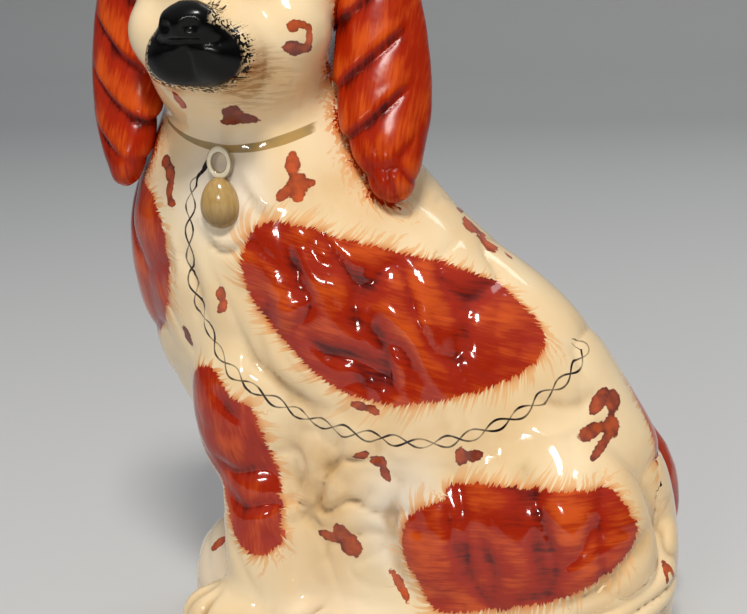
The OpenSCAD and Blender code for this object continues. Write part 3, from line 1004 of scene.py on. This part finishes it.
def collar_gilt(paint, where, tone, collar, collar_on):
    """The gilt collar line, wider towards the rump side."""
    wide = paint.ramp(paint.noise(where, 50.0, 1.0), 0.35, 0.65, 0.8, 1.15)
    swell = paint.ramp(paint.split(where)[0], -0.078, -0.038, 0.8, 1.75)
    wide = paint.math("MULTIPLY", wide, swell)
    line = paint.ramp(paint.math("SUBTRACT", paint.math("ABSOLUTE", collar), wide), 0.15, -0.15)
    cover = paint.math("MULTIPLY", line, paint.math("MULTIPLY", collar_on, 0.92))
    rubbed = paint.ramp(paint.noise(where, 90.0, 2.0), 0.35, 0.65)
    return paint.mix(cover, tone, paint.mix(rubbed, GILT, GILT_DULL))


def muzzle_black(paint, where):
    """How much black covers a place: solid on the muzzle and stippled out at its edge."""
    muzzle_x, muzzle_y, muzzle_in = paint.parts("muzzle")
    smoke = feathered(paint, muzzle_x, muzzle_y, muzzle_in, 1.5, 7.5, 0.01, 5.0)
    stipple = paint.ramp(paint.noise(where, 800.0, 1.0), 0.44, 0.5)
    solid = paint.ramp(muzzle_in, -0.3, 2.0)
    return paint.math("MAXIMUM", solid, paint.math("MULTIPLY", smoke, stipple))


def painted_glaze():
    paint = Finish("painted_glaze")
    where = paint.places()
    dabs, collar, relief = paint.parts("marks")
    load, collar_on, dull = paint.parts("load")

    tone = glaze_ground(paint, where, relief)
    tone = patch_paint(paint, tone, relief)
    tone = dab_paint(paint, where, tone, dabs, load)
    tone = collar_gilt(paint, where, tone, collar, collar_on)
    tone = paint.mix(chain_ink(paint), tone, CHAIN_INK)
    tone = painted_eye(paint, tone)
    black = muzzle_black(paint, where)
    tone = paint.mix(black, tone, MUZZLE_BLACK)

    bump = paint.add("ShaderNodeBump")
    bump.inputs["Strength"].default_value = 0.16
    bump.inputs["Distance"].default_value = 0.001
    paint.feed(bump.inputs["Height"], paint.noise(where, 110.0, 2.0))
    rough = paint.ramp(black, 0.0, 1.0, 0.1, 0.22)
    rough = paint.math("ADD", rough, paint.math("MULTIPLY", dull, 0.12))
    coat = paint.ramp(black, 0.0, 1.0, 0.25, 0.1)
    coat = paint.math("MULTIPLY", coat, paint.math("SUBTRACT", 1.0, dull))
    shine = paint.ramp(black, 0.0, 1.0, 0.42, 0.2)
    shine = paint.math("MULTIPLY", shine, paint.math("SUBTRACT", 1.0, paint.math("MULTIPLY", dull, 0.55)))
    paint.set(Base_Color=tone, Normal=bump.outputs[0], Roughness=rough, Coat_Weight=coat)
    paint.set(Coat_Roughness=0.03, Specular_IOR_Level=shine)
    return paint.material


def bare_clay():
    """Unglazed clay, for the insides and the slab."""
    paint = Finish("bare_clay")
    grain = paint.noise(paint.places(), 240.0, 4.0)
    tone = paint.mix(paint.ramp(grain, 0.3, 0.7), colour(214, 196, 160), colour(190, 168, 130))
    paint.set(Base_Color=tone, Roughness=0.75)
    return paint.material


def worn_gilt():
    """Gilding rubbed in upright streaks and darker low down."""
    paint = Finish("worn_gilt")
    where = paint.places()
    rub = paint.noise(paint.stretched(where, (1.0, 1.0, 0.2)), 620.0, 3.0)
    low = paint.ramp(paint.split(where)[2], 0.187, 0.177)
    tone = paint.mix(paint.ramp(rub, 0.3, 0.7), colour(172, 138, 80), colour(190, 156, 98))
    tone = paint.mix(paint.math("MULTIPLY", low, 0.75), tone, colour(116, 84, 40))
    paint.set(Base_Color=tone, Roughness=0.2, Coat_Weight=0.3, Coat_Roughness=0.05)
    return paint.material


def lined_shackle():
    """Cream glaze, turning greyish brown down both flanks where the roll faces away from the front."""
    paint = Finish("lined_shackle")
    front, _, _ = paint.parts("front")
    tone = paint.mix(paint.ramp(front, 0.66, 0.86), colour(158, 140, 100), colour(232, 218, 190))
    paint.set(Base_Color=tone, Roughness=0.12, Coat_Weight=0.4, Coat_Roughness=0.03)
    return paint.material


GLAZE = painted_glaze()
CLAY = bare_clay()
GOLD = worn_gilt()
LINED = lined_shackle()


# ------------------------------------------------------------------ parting the form into its pieces
def part_along(bm, spot, normal, chosen):
    """Parts the skin along a plane, on the faces near it that are chosen."""
    spot, normal = Vector(spot), Vector(normal).normalized()
    reach = 4.0
    picked = []
    for face in bm.faces:
        middle = face.calc_center_median()
        if abs((middle - spot).dot(normal)) < reach and chosen(middle):
            picked.append(face)
    edges = {edge for face in picked for edge in face.edges}
    verts = {vert for face in picked for vert in face.verts}
    worked = picked + list(edges) + list(verts)
    bmesh.ops.bisect_plane(bm, geom=worked, plane_co=spot, plane_no=normal, dist=0.02)


def in_leg(p):
    return p.x < LEG_X and p.z < LEG_Z


def in_foot(p, grow=0.0):
    return LEG_X - grow < p.x < FOOT_X + grow and p.z < FOOT_Z + grow and abs(p.y) > FOOT_Y - grow


def piece_for(p):
    """The name of the piece that a place on the skin belongs to."""
    near_side = p.y < 0
    if p.z - NECK_Z - p.y * math.tan(NECK_TILT) > 0:
        return "head_face_half" if near_side else "head_back_half"
    if in_leg(p):
        return "near_foreleg" if near_side else "far_foreleg"
    if in_foot(p):
        return "near_hind_foot" if near_side else "far_hind_foot"
    return "body_front_half" if near_side else "body_back_half"


def open_bottom(bm):
    """Opens the underside where the base slab sits, with a clean edge round it."""
    low, high = [np.array(corner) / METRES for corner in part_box("base_slab")]
    play = 0.15
    sole_z = 0.6
    radius = (high[1] - low[1]) / 2 + play
    ends = (low[0] + radius - play, high[0] - radius + play)

    def gone(p):
        x = min(max(p.x, ends[0]), ends[1])
        return math.hypot(p.x - x, p.y) - radius

    doomed = [f for f in bm.faces if f.normal.z < -0.9 and f.calc_center_median().z < sole_z
              and gone(f.calc_center_median()) < 0]
    bmesh.ops.delete(bm, geom=doomed, context="FACES")
    for vert in bm.verts:
        if vert.is_boundary:
            x = min(max(vert.co.x, ends[0]), ends[1])
            away = Vector((vert.co.x - x, vert.co.y, 0)).normalized()
            vert.co = Vector((x, 0, 0)) + away * radius


def parted(body):
    """The form's skin as one mesh for each pressed piece."""
    bm = bmesh.new()
    bm.from_mesh(body.data)
    open_bottom(bm)
    part_along(bm, (0, 0, NECK_Z), (0, -math.tan(NECK_TILT), 1), lambda p: True)
    part_along(bm, (0, 0, 0), (0, 1, 0), lambda p: True)
    part_along(bm, (LEG_X, 0, 0), (1, 0, 0), lambda p: p.z < LEG_Z + CUT_REACH)
    part_along(bm, (0, 0, LEG_Z), (0, 0, 1), lambda p: p.x < LEG_X + CUT_REACH)
    part_along(bm, (FOOT_X, 0, 0), (1, 0, 0), lambda p: in_foot(p, CUT_REACH))
    part_along(bm, (0, 0, FOOT_Z), (0, 0, 1), lambda p: in_foot(p, CUT_REACH))
    for side in (-1, 1):
        part_along(bm, (0, FOOT_Y * side, 0), (0, 1, 0),
                   lambda p: in_foot(p, CUT_REACH) and p.y * side > 0)
    owners = {}
    for face in bm.faces:
        owners.setdefault(piece_for(face.calc_center_median()), set()).add(face.index)
    found = {}
    for name, mine in owners.items():
        part = bm.copy()
        part.faces.ensure_lookup_table()
        rest = [face for face in part.faces if face.index not in mine]
        bmesh.ops.delete(part, geom=rest, context="FACES")
        found[name] = piece_from(name, part)
    bm.free()
    return found


def walled(piece):
    """Gives a pressed piece its wall, and keeps the glaze's shading unbroken across the luted seams."""
    faces = len(piece.data.polygons)
    wall = piece.modifiers.new("wall", "SOLIDIFY")
    wall.thickness = WALL
    wall.offset = -1
    wall.material_offset = 1
    wall.material_offset_rim = 1
    piece.data.materials.append(GLAZE)
    piece.data.materials.append(CLAY)
    outer_count = len(piece.data.vertices)
    settled(piece)
    mesh = piece.data
    places = points_of(mesh)
    places[outer_count:, 2] = np.maximum(places[outer_count:, 2], INNER_Z)
    move_points(mesh, places)
    mesh.transform(Matrix.Diagonal((*METRES, 1)))
    corners = np.empty(len(mesh.loops), np.int32)
    mesh.loops.foreach_get("vertex_index", corners)
    kept = np.empty(len(mesh.vertices) * 3, np.float32)
    mesh.attributes["unbroken"].data.foreach_get("vector", kept)
    kept = kept.reshape(-1, 3)
    first_inner = mesh.polygons[faces].loop_start
    normals = np.zeros((len(mesh.loops), 3), np.float32)
    normals[:first_inner] = kept[corners[:first_inner]]
    seams = {tuple(sorted(key)) for face in mesh.polygons[2 * faces:] for key in face.edge_keys}
    for edge in mesh.edges:
        if tuple(sorted(edge.key)) in seams:
            edge.use_edge_sharp = True
    smoothed(mesh)
    mesh.normals_split_custom_set(normals)
    mesh.attributes.remove(mesh.attributes["unbroken"])
    return piece


def hand_in(piece, node):
    piece.name = node + "_fired"
    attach(piece, "root")
    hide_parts(node)


def finished(piece, node, material):
    """A laid-on piece, dressed and set in the frame."""
    piece.data.materials.append(material)
    piece.data.transform(Matrix.Diagonal((*METRES, 1)))
    smoothed(piece.data)
    hand_in(piece, node)


def make_ear(name, host):
    """An ear, painted red all over and duller than the rest. Returns its skin for the body's paint."""
    # height here is the ear's painted shade in the fold creases and painted highlight on their rises
    ear, height = clay_ear(name, host)
    write_fields(ear.data, plain_fields(points_of(ear.data), height, 86, 20, 1.0))
    faces = [f.vertices for f in ear.data.polygons]
    skin = BVHTree.FromPolygons([v.co for v in ear.data.vertices], faces)
    finished(ear, name, GLAZE)
    return skin


def make_tail(host):
    tail, height = clay_tail(host)
    fields = plain_fields(points_of(tail.data), height)
    dabs, load = dab_field(points_of(tail.data), normals_of(tail.data))
    fields["marks"][:, 0] = dabs
    fields["load"][:, 0] = load
    write_fields(tail.data, fields)
    finished(tail, "tail", GLAZE)


def make_figure():
    body, relief = clay_body()
    places, normals = points_of(body.data), normals_of(body.data)
    host = BVHTree.FromPolygons([Vector(p) for p in places], [f.vertices for f in body.data.polygons])
    ears = [make_ear(name, host) for name in EARS]
    make_tail(host)
    finished(clay_padlock(host), "padlock", GOLD)
    finished(clay_shackle(host), "padlock_shackle", LINED)
    fields = paint_fields(places, normals, relief, ears)
    fields["unbroken"] = normals
    write_fields(body.data, fields)
    for name, piece in parted(body).items():
        hand_in(walled(piece), name)
    bpy.data.objects.remove(body)


make_figure()
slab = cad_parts["base_slab"]
slab.data.materials.clear()
slab.data.materials.append(CLAY)


# ------------------------------------------------------------------ floor, light and camera
LENS = 72.3
CAMERA_AZIMUTH = math.radians(18.5)
CAMERA_HEIGHT = math.radians(12.5)
CAMERA_ROLL = math.radians(-2.2)
CAMERA_AWAY = 0.610
CAMERA_TARGET = Vector((-0.008, 0, 0.136))
LIGHT_TARGET = (0, 0, 0.14)
WARM_LIGHT = (1, 0.97, 0.92)


def aim(piece, spot, target, roll_angle=0.0):
    ahead = (Vector(target) - Vector(spot)).normalized()
    right = ahead.cross(Vector((0, 0, 1))).normalized()
    up = right.cross(ahead)
    c, s = math.cos(roll_angle), math.sin(roll_angle)
    turned = Matrix((right * c + up * s, up * c - right * s, -ahead)).transposed().to_4x4()
    piece.matrix_world = Matrix.Translation(spot) @ turned


def add_camera():
    lens = bpy.data.cameras.new("camera")
    lens.lens = LENS
    lens.sensor_width = 36
    camera = bpy.data.objects.new("camera", lens)
    bpy.context.collection.objects.link(camera)
    level = math.cos(CAMERA_HEIGHT)
    away = Vector((math.sin(CAMERA_AZIMUTH) * level, -math.cos(CAMERA_AZIMUTH) * level,
                   math.sin(CAMERA_HEIGHT)))
    aim(camera, CAMERA_TARGET + away * CAMERA_AWAY, CAMERA_TARGET, CAMERA_ROLL)
    bpy.context.scene.camera = camera


def add_light(name, spot, size, power, tint=(1, 1, 1)):
    light = bpy.data.lights.new(name, "AREA")
    light.shape = "RECTANGLE"
    light.size, light.size_y = size
    light.energy = power
    light.color = tint
    lamp = bpy.data.objects.new(name, light)
    bpy.context.collection.objects.link(lamp)
    aim(lamp, spot, LIGHT_TARGET)


def add_floor():
    """A wide floor that sweeps up into a back wall."""
    bm = bmesh.new()
    edge = [bm.edges.new([bm.verts.new((-4, -3, 0)), bm.verts.new((4, -3, 0))])]
    sweep = [(1.1, 0), (0.34, 0.06), (0.25, 0.2), (0.08, 0.3), (0.0, 2.4)]
    for back, rise in [(4.0, 0)] + sweep:
        made = bmesh.ops.extrude_edge_only(bm, edges=edge)["geom"]
        edge = [item for item in made if isinstance(item, bmesh.types.BMEdge)]
        corners = {vert for item in edge for vert in item.verts}
        bmesh.ops.translate(bm, verts=list(corners), vec=(0, back, rise))
        edge = [item for item in edge if all(vert in corners for vert in item.verts)][:1]
    bmesh.ops.recalc_face_normals(bm, faces=bm.faces)
    floor = piece_from("floor", bm)
    smoothed(floor.data)
    paint = Finish("floor_paper")
    paint.set(Base_Color=(0.60, 0.60, 0.60, 1), Roughness=0.85)
    floor.data.materials.append(paint.material)


def add_world():
    """Soft light from above, fading towards the ground."""
    world = bpy.data.worlds.new("studio")
    world.use_nodes = True
    tree = world.node_tree
    coordinates = tree.nodes.new("ShaderNodeTexCoord")
    split = tree.nodes.new("ShaderNodeSeparateXYZ")
    fall = tree.nodes.new("ShaderNodeMapRange")
    fall.inputs["From Min"].default_value = -0.05
    fall.inputs["From Max"].default_value = 0.95
    fall.inputs["To Min"].default_value = 0.06
    fall.inputs["To Max"].default_value = 0.42
    tree.links.new(coordinates.outputs["Generated"], split.inputs[0])
    tree.links.new(split.outputs["Z"], fall.inputs["Value"])
    tree.links.new(fall.outputs[0], tree.nodes["Background"].inputs["Strength"])
    tree.nodes["Background"].inputs["Color"].default_value = (0.93, 0.96, 1.0, 1)
    bpy.context.scene.world = world
    bpy.context.scene.view_settings.view_transform = "Standard"


add_camera()
add_floor()
add_world()
add_light("key", (0.3, -1.0, 1.7), (0.34, 0.34), 24, WARM_LIGHT)
add_light("lamp", (0.04, -1.3, 0.5), (0.22, 0.06), 2.6, WARM_LIGHT)
add_light("back", (0.5, 1.2, 1.8), (1.0, 0.8), 8)
